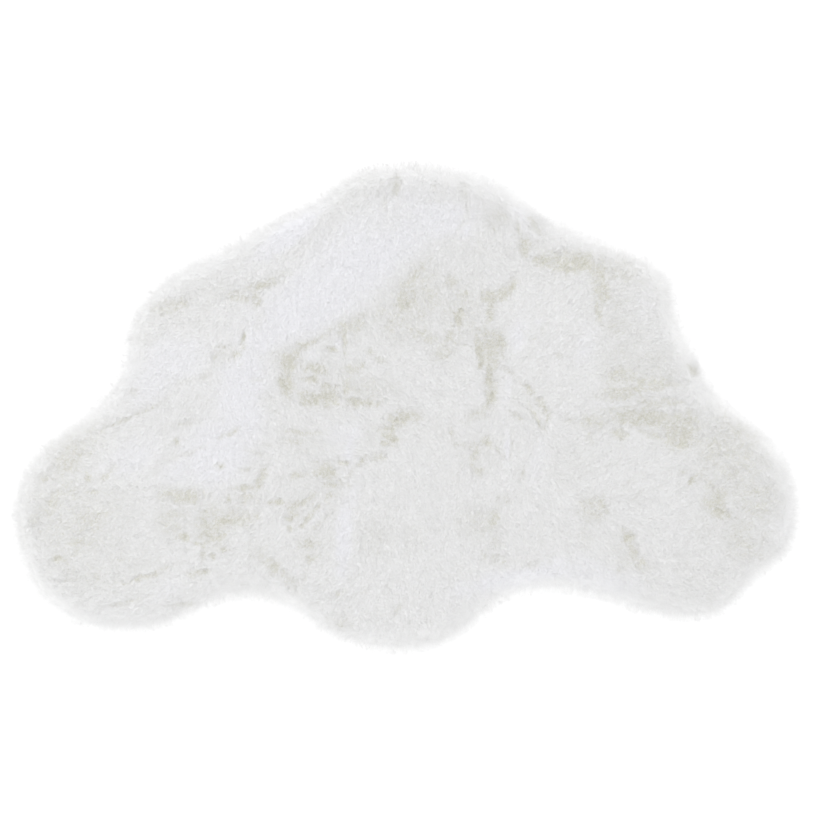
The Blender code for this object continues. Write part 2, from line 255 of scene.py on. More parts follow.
PARTED = (
    # partings, sunk and with painted shade: place, x, y, length, width, turn, depth
    ("crown_tuft", -13, 283, 24, 14, 100, 0.78),
    ("crown_left_mark", -33, 279, 22, 9, 75, 0.36),
    ("crown_left_line", -27, 258, 28, 6, 85, 0.65),
    ("crown_left_field", -71, 264, 90, 34, 42, 0.20),
    ("crown_mid_field", -32, 246, 70, 56, 0, 0.2),
    ("crown_streak", -90, 236, 50, 14, 75, 0.25),
    ("crown_streak_low", -82, 214, 22, 6, 60, 0.35),
    ("crown_speck_a", 16, 281, 16, 8, 0, 0.12),
    ("crown_speck_b", 38, 281, 14, 8, 0, 0.5),
    ("crown_lip", 44, 264, 34, 5, 0, 0.22),
    ("crown_lip_end", 63, 273, 20, 5, 68, 0.08),
    ("crown_side_mark", 73, 280, 20, 11, 90, 0.34),
    ("crown_side_line", 78, 257, 40, 5, 95, 0.5),
    ("crown_side_crease", 73, 237, 26, 6, 62, 0.50),
    ("crown_right_field", 115, 241, 26, 38, 0, 0.42),
    ("crown_low_field", 94, 199, 90, 44, 0, 0.14),
    ("saddle_streak", 151, 207, 32, 20, 90, 0.75),
    ("saddle_streak_top", 142, 230, 20, 8, 95, 0.7),
    ("saddle_field", 170, 205, 26, 22, 0, 0.4),
    ("saddle_nick", 165, 232, 22, 15, 122, 0.75),
    ("saddle_nick_tail", 178, 222, 30, 6, -42, 0.30),
    ("shoulder_hollow", 208, 186, 82, 29, 0, 0.85),
    ("shoulder_hollow_core", 212, 182, 48, 16, 0, 1.05),
    ("shoulder_hollow_west", 178, 186, 34, 18, 0, 0.8),
    ("shoulder_turn", 248, 163, 66, 26, 97, 0.75),
    ("shoulder_turn_low", 245, 129, 44, 13, 100, 0.7),
    ("shoulder_turn_east", 272, 176, 44, 34, 0, 0.60),
    ("shoulder_field", 284, 130, 70, 110, 0, 0.36),
    ("shoulder_flank", 267, 101, 36, 34, 100, 0.45),
    ("shoulder_spot", 282, 167, 18, 14, 0, 0.6),
    ("flank_field", 299, 61, 110, 60, -20, 0.36),
    ("flank_field_west", 261, 67, 40, 50, 0, 0.2),
    ("flank_spot", 313, 59, 13, 9, 20, 0.6),
    ("flank_nick", 365, 49, 20, 9, -48, 0.70),
    ("flank_hollow", 273, 41, 50, 26, -4, 0.70),
    ("flank_hollow_east", 321, 33, 70, 16, -6, 0.7),
    ("flank_hollow_mid", 289, 24, 70, 6, 0, 0.85),
    ("flank_hollow_low", 275, 16, 50, 14, 4, 0.75),
    ("flank_hollow_foot", 321, 8, 76, 18, -4, 0.65),
    ("flank_crease", 277, 1, 50, 4, 3, 0.65),
    ("lobe_hollow", 311, -13, 108, 23, -3, 0.9),
    ("lobe_hollow_end", 352, -28, 54, 50, 0, 0.8),
    ("lobe_hollow_corner", 355, -47, 20, 9, 0, 0.95),
    ("lobe_hollow_foot", 272, -32, 20, 16, 0, 0.8),
    ("lobe_hollow_start", 239, -17, 34, 18, -10, 0.6),
    ("lobe_hollow_dash", 235, -39, 12, 16, 0, 0.55),
    ("lobe_hollow_under", 314, -33, 36, 14, -20, 0.6),
    ("lobe_field", 413, -56, 120, 96, -45, 0.5),
    ("lobe_field_top", 421, -27, 60, 22, -28, 0.6),
    ("lobe_field_low", 446, -116, 90, 60, -60, 0.52),
    ("lobe_tick_a", 365, -92, 18, 6, 52, 1.20),
    ("lobe_tick_b", 355, -82, 16, 8, 30, 0.55),
    ("lobe_tick_c", 351, -104, 22, 4, 50, 0.15),
    ("tip_hollow_head", 381, -93, 34, 22, -30, 0.5),
    ("tip_hollow", 395, -116, 34, 40, 0, 0.78),
    ("tip_hollow_foot", 405, -135, 32, 14, -20, 1.0),
    ("tip_hollow_field", 391, -151, 60, 50, -30, 0.28),
    ("tip_spot", 451, -107, 16, 8, 0, 0.6),
    ("tip_field", 439, -169, 90, 60, -20, 0.5),
    ("lobe_low_field", 371, -213, 120, 50, 0, 0.15),
    ("lobe_low_streak", 386, -243, 18, 6, 85, 0.28),
    ("lobe_nick", 282, -165, 22, 16, 100, 0.95),
    ("lobe_nick_mid", 288, -184, 30, 17, -62, 0.6),
    ("lobe_nick_foot", 302, -200, 28, 15, -42, 0.75),
    ("lobe_nick_tail", 275, -206, 18, 8, 0, 0.52),
    ("lobe_nick_field", 279, -183, 34, 54, 0, 0.32),
    ("right_bay_hollow", 238, -128, 34, 42, 25, 0.6),
    ("right_bay_core", 248, -125, 20, 26, 30, 0.75),
    ("right_bay_tail", 230, -164, 18, 26, 0, 0.38),
    ("right_mid_field", 208, -67, 70, 60, 0, 0.18),
    ("right_mid_dash", 209, -15, 18, 12, 0, 0.5),
    ("parting_tip", 136, 157, 20, 14, 60, 0.8),
    ("parting_arm", 122, 146, 34, 17, 25, 0.88),
    ("parting_arm_root", 106, 143, 26, 18, 0, 0.85),
    ("parting_neck", 107, 120, 34, 12, 75, 0.85),
    ("parting_bowl", 108, 80, 38, 46, 0, 0.8),
    ("parting_west", 93, 78, 44, 11, 98, 1.05),
    ("parting_bowl_foot", 107, 60, 30, 16, 10, 0.65),
    ("parting_bowl_east", 121, 80, 30, 10, 95, 1.05),
    ("parting_stem", 107, 32, 60, 15, 93, 0.95),
    ("parting_stem_foot", 103, 2, 26, 13, 60, 0.8),
    ("parting_stem_end", 90, -10, 26, 15, 35, 0.65),
    ("parting_side", 131, 48, 22, 8, -30, 0.55),
    ("link_a", 146, 34, 24, 7, -35, 0.38),
    ("link_b", 159, 22, 26, 9, -45, 0.8),
    ("link_c", 173, 6, 22, 12, -60, 0.8),
    ("link_d", 140, -8, 26, 8, -50, 0.75),
    ("link_e", 165, -11, 34, 8, -58, 0.9),
    ("link_f", 180, -14, 24, 6, 66, 0.75),
    ("link_g", 137, 10, 20, 5, 70, 0.34),
    ("link_field", 156, 6, 60, 50, 0, 0.2),
    ("field_dot_b", 174, 98, 6, 6, 0, 0.45),
    ("field_dot_c", 163, 88, 10, 5, 30, 0.65),
    ("field_dot_d", 151, 97, 6, 5, 0, 0.45),
    ("field_dot_e", 193, 68, 10, 6, 0, 0.55),
    ("furrow_head", 59, 159, 22, 20, 0, 0.75),
    ("furrow_neck", 72, 144, 26, 14, 80, 0.75),
    ("furrow", 67, 114, 26, 15, 75, 0.95),
    ("furrow_low", 55, 92, 28, 12, 62, 0.8),
    ("furrow_foot", 47, 71, 28, 26, 20, 0.62),
    ("furrow_splay", 72, 80, 40, 5, -10, 0.6),
    ("furrow_field", 72, 126, 60, 84, 0, 0.4),
    ("olive_field", 7, 136, 112, 74, 58, 0.5),
    ("olive_core", 1, 138, 40, 34, 40, 0.78),
    ("olive_low", -15, 108, 34, 20, 20, 0.6),
    ("olive_foot", 21, 93, 50, 18, -25, 0.6),
    ("olive_tip", 16, 177, 36, 12, 40, 0.6),
    ("band_edge_tip", 5, 164, 46, 14, 48, 0.75),
    ("band_edge_mid", -31, 122, 60, 18, 42, 0.5),
    ("band_edge_brown", -69, 104, 48, 24, 25, 0.65),
    ("band_foot_mark", -81, 105, 16, 10, 30, 0.85),
    ("tangle_edge", -116, 86, 46, 9, 32, 0.72),
    ("tangle_edge_west", -139, 75, 34, 13, 25, 0.65),
    ("tangle_west", -149, 58, 32, 34, 0, 0.85),
    ("tangle_west_low", -152, 32, 26, 30, 0, 0.9),
    ("tangle_west_foot", -152, 12, 22, 14, 90, 0.5),
    ("tangle_mid", -116, 48, 30, 15, -10, 0.9),
    ("tangle_pit", -121, 36, 18, 9, 0, 1.05),
    ("tangle_low", -120, 11, 32, 20, 0, 1.0),
    ("tangle_low_east", -100, 14, 34, 24, 0, 0.86),
    ("tangle_low_top", -98, 27, 24, 10, 0, 0.8),
    ("tangle_east", -76, 28, 36, 18, 86, 0.7),
    ("tangle_east_top", -69, 49, 34, 16, 10, 0.72),
    ("tangle_tail_west", -67, 8, 26, 13, 0, 1),
    ("tangle_tail", -47, 7, 32, 10, 0, 0.9),
    ("tangle_upper", -94, 75, 14, 9, 0, 1.15),
    ("tangle_upper_east", -77, 87, 30, 6, 88, 1.00),
    ("tangle_crook", -44, 71, 14, 9, -30, 0.75),
    ("tangle_crook_east", -32, 61, 14, 10, 0, 0.7),
    ("tangle_field", -43, 25, 64, 30, 0, 0.48),
    ("tangle_wide", -112, 38, 110, 90, 0, 0.2),
    ("middle_head", -7, -13, 38, 18, 20, 1.00),
    ("middle_head_east", 11, -9, 30, 18, -10, 0.75),
    ("middle_neck", -23, -29, 24, 18, 60, 0.9),
    ("middle_bend", -19, -43, 22, 11, 5, 1.10),
    ("middle_side", -39, -35, 26, 26, 0, 0.4),
    ("middle_tail", -41, -63, 28, 11, 15, 0.72),
    ("middle_tail_mid", -58, -71, 20, 8, 40, 0.8),
    ("middle_tail_end", -71, -84, 18, 6, 48, 0.6),
    ("middle_east_field", 21, -27, 60, 40, 0, 0.15),
    ("left_streaks", -130, -31, 50, 7, 0, 0.75),
    ("left_streaks_mid", -140, -42, 28, 11, 0, 0.55),
    ("left_streaks_low", -127, -54, 34, 8, 0, 0.4),
    ("left_streaks_field", -132, -40, 56, 44, 0, 0.25),
    ("left_hollow", -103, -81, 32, 19, 10, 0.85),
    ("left_hollow_top", -105, -69, 40, 6, 5, 0.55),
    ("left_hollow_tip", -82, -71, 16, 6, 0, 1.18),
    ("left_hollow_west", -138, -85, 24, 9, 10, 0.8),
    ("left_hollow_low", -97, -98, 40, 11, 5, 0.82),
    ("left_hollow_field", -111, -90, 70, 36, 10, 0.3),
    ("tufts_west", -165, -121, 20, 8, 0, 0.95),
    ("tufts", -143, -126, 24, 20, 30, 0.65),
    ("tufts_low", -146, -138, 18, 9, 30, 1.0),
    ("tufts_stroke_a", -126, -118, 34, 7, 38, 0.8),
    ("tufts_stroke_b", -117, -131, 40, 8, 45, 0.82),
    ("tufts_stroke_c", -105, -143, 40, 6, 43, 0.60),
    ("tufts_stroke_d", -97, -112, 32, 12, 45, 0.65),
    ("tufts_stroke_e", -129, -146, 24, 6, 45, 0.92),
    ("tufts_field", -121, -128, 70, 56, 30, 0.35),
    ("tufts_speck", -148, -155, 11, 7, -30, 0.95),
    ("tufts_bay", -125, -173, 30, 13, 0, 0.75),
    ("tufts_bay_foot", -121, -193, 16, 14, 60, 0.7),
    ("tufts_bay_head", -123, -160, 14, 12, 80, 0.4),
    ("tufts_bay_field", -119, -176, 56, 50, 0, 0.32),
    ("tufts_line", -129, -212, 18, 5, 80, 0.6),
    ("fork_west_top", 60, -30, 18, 7, 90, 0.6),
    ("fork_west", 72, -47, 24, 10, -15, 0.6),
    ("fork", 88, -61, 34, 13, 85, 0.6),
    ("fork_foot", 92, -81, 20, 18, 0, 0.58),
    ("fork_east", 104, -44, 20, 13, -25, 0.76),
    ("fork_crease", 119, -56, 28, 5, -52, 0.75),
    ("fork_crease_east", 134, -50, 32, 4, 84, 0.6),
    ("fork_field", 96, -61, 60, 50, 0, 0.2),
    ("right_mid_line", 148, -87, 22, 8, 80, 0.64),
    ("belly_side", 112, -139, 18, 24, 0, 0.75),
    ("belly_side_top", 124, -118, 18, 16, 0, 0.38),
    ("belly_side_field", 94, -147, 62, 44, 0, 0.42),
    ("belly_side_low", 112, -169, 20, 26, 0, 0.45),
    ("belly_side_foot", 112, -191, 30, 16, -20, 0.54),
    ("belly_side_tail", 158, -199, 18, 12, 0, 0.56),
    ("belly_west_field", -36, -164, 60, 44, 60, 0.32),
    ("belly_mid_field", 9, -169, 40, 34, 70, 0.28),
    ("belly_pit", -10, -257, 15, 5, 60, 0.8),
    ("belly_pit_upper", -24, -231, 15, 6, 50, 0.18),
    ("belly_pit_west", -85, -237, 17, 8, 20, 0.65),
    ("belly_rim", -81, -272, 32, 20, -20, 0.45),
    ("bay_streak_top", -187, -184, 34, 26, -40, 0.4),
    ("bay_streak", -169, -201, 34, 17, -55, 0.75),
    ("bay_streak_core", -169, -202, 14, 14, 0, 0.85),
    ("bay_streak_foot", -150, -218, 34, 13, -48, 0.52),
    ("ring_arm", -185, -90, 30, 11, 68, 0.75),
    ("ring_top", -207, -103, 36, 7, -3, 0.9),
    ("ring_side", -204, -79, 16, 5, 15, 0.88),
    ("ring_field", -202, -114, 42, 18, 0, 0.55),
    ("ring_dimple", -225, -117, 10, 10, 0, 0.85),
    ("ring_hollow", -227, -143, 20, 9, 5, 1.25),
    ("ring_hollow_field", -215, -141, 62, 30, 0, 0.65),
    ("bay_west_field", -245, -153, 46, 58, 0, 0.65),
    ("bay_west_top", -257, -131, 16, 5, 0, 0.7),
    ("bay_west_spot", -255, -151, 12, 11, 0, 0.80),
    ("bay_west_low", -241, -165, 26, 14, 0, 1.00),
    ("bay_west_line", -258, -180, 34, 8, 88, 0.75),
    ("bay_west_dash", -232, -180, 20, 5, 0, 1.25),
    ("bay_west_pit", -245, -188, 10, 10, 0, 1.1),
    ("left_lobe_field", -283, -112, 60, 22, 0, 0.75),
    ("left_lobe_field_low", -299, -143, 50, 44, 30, 0.5),
    ("left_lobe_wedge", -284, -164, 20, 11, -10, 0.95),
    ("left_lobe_wedge_tail", -266, -172, 20, 5, -15, 0.9),
    ("left_line", -260, -209, 26, 7, 5, 1.00),
    ("left_line_west", -273, -212, 11, 6, 0, 1.00),
    ("ripple", -336, -216, 44, 7, 14, 0.98),
    ("ripple_end", -309, -204, 34, 6, 18, 0.6),
    ("ripple_start", -360, -223, 18, 5, 0, 0.86),
    ("ripple_low", -350, -246, 52, 5, 15, 0.6),
    ("ripple_low_start", -367, -251, 16, 7, 10, 0.72),
    ("ripple_east", -287, -251, 30, 6, 5, 0.7),
    ("ripple_west", -438, -219, 34, 4, 0, 0.7),
    ("left_foot_line", -408, -210, 30, 4, -28, 0.4),
    ("left_pit", -395, -216, 11, 8, -30, 0.65),
    ("left_pit_mid", -364, -195, 9, 6, 0, 0.78),
    ("left_pit_west", -445, -192, 16, 9, 0, 1.3),
    ("left_pit_tail", -434, -197, 24, 6, -25, 0.8),
    ("left_pit_edge", -463, -172, 8, 6, 40, 0.20),
    ("left_pit_high", -353, -135, 5, 6, 0, 0.02),
    ("left_tip_upper", -427, -62, 64, 38, 45, 0.62),
    ("left_tip_spot", -406, -58, 15, 9, 0, 0.46),
    ("left_tip_dash", -431, -77, 26, 7, -10, 0.6),
    ("left_tip_nick", -461, -87, 14, 11, 0, 0.75),
    ("left_tip", -448, -116, 26, 22, 70, 0.72),
    ("left_tip_mark", -454, -134, 14, 16, 0, 0.6),
    ("left_tip_edge", -473, -142, 26, 18, 80, 0.6),
    ("left_tip_field", -403, -144, 54, 40, -10, 0.6),
    ("left_tip_core", -403, -146, 28, 20, 0, 0.7),
    ("left_tip_mid", -417, -172, 36, 14, 0, 0.65),
    ("left_tip_low", -428, -185, 44, 22, 25, 0.48),
    ("left_tip_line", -423, -105, 30, 5, 0, 0.7),
    ("left_tip_line_east", -395, -107, 20, 5, -5, 0.94),
    ("left_tip_crease", -405, -87, 16, 8, -80, 0.94),
    ("left_tip_wide", -419, -134, 130, 180, 0, 0.42),
    ("left_tip_north", -419, -46, 100, 40, 28, 0.48),
    ("left_foot_wide", -383, -206, 150, 70, 0, 0.3),
    ("left_shoulder_arm", -184, 156, 46, 14, 20, 0.80),
    ("left_shoulder_upper", -214, 149, 26, 6, 5, 0.7),
    ("left_shoulder_lower", -213, 140, 36, 10, -5, 0.75),
    ("left_shoulder_hollow", -190, 140, 16, 22, 0, 0.72),
    ("left_shoulder_end", -158, 169, 28, 12, 20, 0.46),
    ("left_shoulder_streak", -186, 115, 30, 8, 70, 0.35),
    ("left_shoulder_rim", -301, 130, 52, 20, 4, 0.62),
    ("left_shoulder_brown", -285, 134, 20, 10, 0, 0.75),
    ("left_shoulder_grey", -312, 124, 22, 14, 20, 0.6),
    ("left_shoulder_field", -253, 147, 76, 34, 10, 0.3),
    ("left_shoulder_low", -301, 118, 90, 40, 10, 0.25),
    ("left_shoulder_west", -337, 86, 70, 26, 85, 0.25),
    ("left_shoulder_nick", -347, 21, 12, 10, 0, 0.7),
    ("left_ring", -230, 69, 36, 26, 20, 0.42),
    ("left_ring_west", -243, 66, 18, 9, 75, 0.65),
    ("left_ring_top", -233, 77, 20, 7, 5, 0.65),
    ("left_ring_low", -217, 69, 14, 9, 20, 0.92),
    ("left_ring_arm", -207, 85, 20, 7, 75, 1.38),
    ("left_line_upper", -277, 35, 26, 7, 15, 0.45),
    ("left_line_east", -256, 40, 14, 8, 50, 0.5),
    ("flank_dash", -189, 36, 16, 4, 0, 0.5),
    ("flank_field_low", -176, 7, 30, 22, 0, 0.35),
    ("flank_speck", -165, -5, 10, 5, -20, 0.65),
    ("flank_corner", -182, 66, 12, 5, 40, 0.25),
    ("flank_corner_east", -165, 71, 14, 4, 10, 0.6),
    ("long_crease", -362, -17, 100, 4, 26, 0.86),
    ("long_crease_end", -326, 2, 34, 4, 22, 0.6),
    ("low_crease", -276, -57, 34, 4, 22, 0.6),
    ("lobe_crease", -382, -87, 32, 8, 50, 0.75),
    ("pit_north", -263, 15, 7, 7, 0, 0.5),
    ("pit_west", -293, -43, 9, 9, 0, 0.90),
    ("pit_field", -282, -20, 30, 7, 10, 0.53),
    ("pit_field_top", -275, -2, 12, 12, 0, 0.14),
    ("pit_streak", -222, -31, 18, 6, 25, 0.80),
    ("pit_streak_west", -236, -38, 14, 5, 40, 0.62),
    ("pit_curve", -190, -57, 28, 5, -18, 0.44),
    ("pit_south", -237, -74, 10, 7, 0, 0.70),
    ("pit_east", -178, -47, 10, 6, 0, 0.6),
    ("tuft_shadow", -123, -140, 30, 5, 45, 0.95),
)
CREASES = (
    # sharp edges: start x, start y, end x, end y, how far the painted shade and hollow run on their
    # right-hand side, depth
    ("band_edge_upper", -31, 135, 33, 190, 18, 0.5),
    ("band_edge_middle", -105, 93, -31, 135, 16, 0.6),
    ("band_edge_lower", -164, 70, -102, 96, 12, 0.6),
    ("comb_a", 263, -77, 277, -59, 4, 0.55),
    ("comb_b", 271, -105, 293, -81, 4, 0.65),
    ("comb_c", 277, -121, 307, -98, 4, 0.65),
    ("comb_d", 293, -91, 305, -73, 4, 0.4),
    ("comb_e", 251, -79, 263, -63, 4, 0.35),
    ("belly_ripple_a", -129, -252, -81, -234, 4, 0.55),
    ("belly_ripple_b", -123, -230, -87, -210, 4, 0.5),
    ("belly_ripple_c", -91, -247, -39, -227, 4, 0.5),
    ("belly_ripple_d", -83, -223, -51, -207, 4, 0.45),
    ("belly_ripple_e", -65, -257, -29, -261, 4, 0.4),
    ("belly_crest", -67, -196, -59, -130, 5, 0.4),
    ("ring_wall", -241, -105, -227, -91, 4, 0.5),
    ("curl_upper", -218, 48, -205, 62, 3, 0.4),
)
GLOW = (
    # where the rim's painted light reaches further in, or less far: place, x, y, length, width, turn, mm
    ("left_lobe_foot", -450, -240, 110, 60, -38, 7),
    ("left_lobe_side", -488, -190, 60, 30, 80, 4),
    ("left_bay", -215, -238, 110, 30, 0, 1.5),
    ("belly_left", -142, -250, 60, 40, -40, 5),
    ("right_bay", 180, -222, 150, 40, 0, 3),
    ("belly_right", 98, -248, 80, 44, 40, 2),
    ("belly_foot", -30, -298, 120, 30, 0, 2.5),
    ("belly_foot_left", -105, -276, 80, 30, -30, 1.2),
    ("right_lobe_foot", 290, -250, 110, 30, -8, 1.5),
    ("right_lobe_sole", 374, -256, 90, 30, 0, 0.8),
    ("right_lobe_side", 466, -196, 80, 40, 50, 3.5),
    ("right_lobe_edge", 488, -125, 110, 36, -85, 2.2),
    ("right_lobe_top", 412, -2, 76, 30, -30, 5),
    ("right_lobe_brow", 462, -50, 60, 36, -50, 7),
    ("right_shoulder", 346, 84, 70, 30, -70, 6),
    ("right_shoulder_top", 306, 172, 60, 40, -50, 3),
    ("right_saddle", 208, 220, 60, 20, -20, 0.5),
    ("saddle_nick_rim", 166, 237, 34, 22, -45, -12),
    ("flank_nick_rim", 366, 50, 18, 14, -48, -8),
    ("crown_left", -76, 280, 100, 36, 38, -5),
    ("crown_top", 10, 302, 140, 24, 0, -1),
    ("left_shoulder", -345, 80, 110, 36, 85, -1.5),
    ("left_shoulder_side", -300, 158, 120, 40, 35, -1),
    ("left_slope", -165, 222, 130, 44, 33, -6),
    ("left_notch", -348, 22, 40, 30, 0, -4),
    ("left_shoulder_top", -285, 170, 70, 26, 30, -3),
    ("left_lobe_west", -482, -130, 90, 40, 90, -1),
    ("left_lobe_brow", -452, -66, 90, 36, 52, -1),
)
FOLDS = (
    # ridges, and hollows with a minus: place, x, y, length, width, turn, rise in mm
    ("ring_wall", -226, -116, 20, 20, 0, 0.5),
)
# layers of noise: strength, size of the lumps, seed
SWAY_EAST = ((0.8 * MM, 22 * MM, 11), (1.3 * MM, 7 * MM, 12))
SWAY_NORTH = ((0.8 * MM, 22 * MM, 13), (1.3 * MM, 7 * MM, 14))
BITES = ((2.2, 9 * MM, 15), (2.6, 4 * MM, 16))
PARTED_MOTTLE = ((0.16, 5 * MM, 17), (0.35, 2 * MM, 18))
TURNING = ((0.30, 24 * MM, 1), (0.30, 9 * MM, 2), (0.25, 4 * MM, 3))
LOCK_RELIEF = ((0.26, 9 * MM, 21), (0.20, 4.5 * MM, 22), (0.10, 2.6 * MM, 23))
TUFT_RELIEF = ((0.12 * MM, 2.2 * MM, 26),)
LOCK_TONES = ((0.10, 6 * MM, 24), (0.06, 3 * MM, 25))
NOISE_CELLS = 1024
LOCK_STEP = 0.6
# patches: how far the uneven edge may reach, the width from which it is fully uneven, its blur in mm
PATCH_MARGIN = 8
FULL_WIDTH = 14
PATCH_BLUR = 0.5
PATCH_BLUR_GROWTH = 0.09
CREASE_BLUR = 0.7
SWELLING_FALL = 1.2
# how parted and smoothed places change the lie and the height of the pile, its painted shade and painted
# highlight, and the rim's painted light
PARTED_MOST = 1.5
PARTED_SPLAY = 3.0
PARTED_DEPTH = 1.1 * MM
PARTED_UNSMOOTHED = 1.4
PARTED_UNLIT = 0.65
RIM_FAN = 12 * MM
FAN_STRENGTH = 2.2
RELIEF_INSET = 10 * MM
FORM_SHADE = 0.15
# how the rim's painted light fades inwards from beyond the cloth's edge
LOCK_REACH = 13 * MM
RIM_FADE = 12.6 * MM
RIM_CURVE = 1.6

map_x = np.arange(low.x - MAP_MARGIN, high.x + MAP_MARGIN, MAP_STEP)
map_y = np.arange(low.y - MAP_MARGIN, high.y + MAP_MARGIN, MAP_STEP)
grid_x, grid_y = np.meshgrid(map_x, map_y)


def read_map(grid, x, y):
    """A map's value at each point, blended between its four nearest."""
    u = np.clip((x - map_x[0]) / MAP_STEP, 0, len(map_x) - 1.001)
    v = np.clip((y - map_y[0]) / MAP_STEP, 0, len(map_y) - 1.001)
    i, j = u.astype(int), v.astype(int)
    u, v = u - i, v - j
    near = grid[j, i] * (1 - u) + grid[j, i + 1] * u
    far = grid[j + 1, i] * (1 - u) + grid[j + 1, i + 1] * u
    return near * (1 - v) + far * v


def ripple(x, y, size, seed):
    """Smooth noise from -1 to 1 with lumps of this size."""
    lattice = np.random.default_rng(seed).uniform(-1, 1, (NOISE_CELLS, NOISE_CELLS))
    u, v = x / size + NOISE_CELLS / 2, y / size + NOISE_CELLS / 2
    column, row = np.floor(u).astype(int), np.floor(v).astype(int)
    u, v = u - column, v - row
    u, v = u * u * (3 - 2 * u), v * v * (3 - 2 * v)
    here = lattice[row, column] * (1 - u) + lattice[row, column + 1] * u
    above = lattice[row + 1, column] * (1 - u) + lattice[row + 1, column + 1] * u
    return here * (1 - v) + above * v


def rippled(layers):
    """A map of the sum of some layers of noise."""
    return sum(strength * ripple(grid_x, grid_y, size, seed) for strength, size, seed in layers)


def stroked(layers):
    """Layers of noise drawn out along the way the pile lies, as locks of fur are."""
    total = np.zeros(grid_x.shape)
    for strength, size, seed in layers:
        for step in (-2, -1, 0, 1, 2):
            x = grid_x + step * LOCK_STEP * size * np.cos(lie)
            y = grid_y + step * LOCK_STEP * size * np.sin(lie)
            total += strength * ripple(x, y, size, seed) / 3
    return total


def evened(grid, times):
    """A map with each value averaged with its neighbours' this many times over."""
    for _ in range(times):
        grid = (grid + np.roll(grid, 1, 0) + np.roll(grid, -1, 0)) / 3
        grid = (grid + np.roll(grid, 1, 1) + np.roll(grid, -1, 1)) / 3
    return grid


def rows(table):
    """A table's rows without the names of their places."""
    return [row[1:] for row in table]


def window(x, y, reach):
    """The part of the maps within this reach of a place, all in millimetres."""
    left, right = np.searchsorted(map_x, ((x - reach) * MM, (x + reach) * MM))
    foot, head = np.searchsorted(map_y, ((y - reach) * MM, (y + reach) * MM))
    return slice(foot, head), slice(left, right)


def oval(part, x, y, length, width, turn):
    """How far inside an oval each point of the part lies: 1 at its middle and 0 on its edge."""
    angle = math.radians(turn)
    east, north = swayed_x[part] / MM - x, swayed_y[part] / MM - y
    along = (east * math.cos(angle) + north * math.sin(angle)) * 2 / length
    across = (north * math.cos(angle) - east * math.sin(angle)) * 2 / width
    return 1 - np.hypot(along, across)


def patches(table):
    """A map of a table's oval patches, with uneven edges that are crisper on the narrow ones."""
    total = np.zeros(grid_x.shape)
    for x, y, length, width, turn, strength in rows(table):
        part = window(x, y, max(length, width) * 0.5 + width * 0.8 + PATCH_MARGIN)
        narrow = min(length, width)
        inside = oval(part, x, y, length, width, turn) * narrow / 2
        uneven = bites[part] * min(narrow / FULL_WIDTH, 1)
        shade = 1 / (1 + np.exp(-(inside + uneven) / (PATCH_BLUR + PATCH_BLUR_GROWTH * narrow)))
        total[part] = np.maximum(total[part], strength * shade)
    return total


def creases(table):
    """A map of the shade on the right-hand side of each sharp edge: a hollow there, and painted shade."""
    total = np.zeros(grid_x.shape)
    for start_x, start_y, end_x, end_y, reach, depth in rows(table):
        length = math.hypot(end_x - start_x, end_y - start_y)
        east, north = (end_x - start_x) / length, (end_y - start_y) / length
        x, y = swayed_x / MM - start_x, swayed_y / MM - start_y
        run = (x * east + y * north) / length
        side = x * north - y * east
        ends = np.clip(1.5 - 3 * np.abs(run - 0.5), 0, 1)
        fading = np.exp(-np.clip(side, 0, None) / reach)
        total = np.maximum(total, depth * ends / (1 + np.exp(-side / CREASE_BLUR)) * fading)
    return total


def swellings(table):
    """A map of each oval's last number, in metres, fading softly outwards from its middle."""
    total = np.zeros(grid_x.shape)
    for x, y, length, width, turn, rise in rows(table):
        part = window(x, y, max(length, width))
        outside = 1 - oval(part, x, y, length, width, turn)
        total[part] += rise * MM * np.exp(-SWELLING_FALL * outside**2)
    return total


pile = merged_copy(rug, "pile_body")
select_where(pile, lock_tip)
bpy.ops.mesh.dissolve_verts()
bpy.ops.mesh.select_all(action="SELECT")
bpy.ops.mesh.quads_convert_to_tris()
bpy.ops.object.mode_set(mode="OBJECT")
pile_top = BVHTree.FromObject(pile, bpy.context.evaluated_depsgraph_get())

edge_points = []
for edge in cloth.data.edges:
    start, end = (cloth.data.vertices[i].co for i in edge.vertices)
    if max(start.z, end.z) < ON_FLOOR:
        steps = math.ceil((end - start).length / EDGE_STEP)
        edge_points += [start.lerp(end, (step + 0.5) / steps) for step in range(steps)]
edge_tree = kdtree.KDTree(len(edge_points))
for i, point in enumerate(edge_points):
    edge_tree.insert(point, i)
edge_tree.balance()

# the height of the pile's top, and how far each place lies in from the cloth's edge
top, inset = np.zeros(grid_x.shape), np.zeros(grid_x.shape)
for j, y in enumerate(map_y):
    for i, x in enumerate(map_x):
        hit = pile_top.ray_cast(Vector((x, y, RAY_HEIGHT)), Vector((0, 0, -1)))[0]
        top[j, i] = hit.z if hit else 0
        inset[j, i] = edge_tree.find((x, y, 0))[2] * (1 if hit else -1)
rim_top = np.median(top[(inset > 0) & (inset < EDGE_BAND)])
skirt = rim_top * np.clip(1 + inset / RIM_SKIRT, 0, 1) ** SKIRT_CURVE
top = evened(np.where(inset > 0, top, skirt), TOP_EVENING)
fall_y, fall_x = np.gradient(evened(inset, EDGE_EVENING), MAP_STEP)
steepness = np.hypot(fall_x, fall_y) + 1e-6
out_x, out_y = -fall_x / steepness, -fall_y / steepness

# the marks, moved to where the camera sees the top of the pile, and swayed so that none is regular
parallax = top / (camera.location.z - top)
swayed_x = grid_x + parallax * (grid_x - VIEW_MIDDLE[0]) + rippled(SWAY_EAST)
swayed_y = grid_y + parallax * (grid_y - VIEW_MIDDLE[1]) + rippled(SWAY_NORTH)
bites = rippled(BITES)
parted = np.maximum(patches(PARTED), creases(CREASES)) * (1 + rippled(PARTED_MOTTLE))
parted = np.clip(parted, 0, PARTED_MOST)
# a cool painted highlight where the fur is stroked flat, less where it is parted
smoothed = patches(PAINTED_HIGHLIGHTS) * (1 - np.clip(parted * PARTED_UNSMOOTHED, 0, 1))

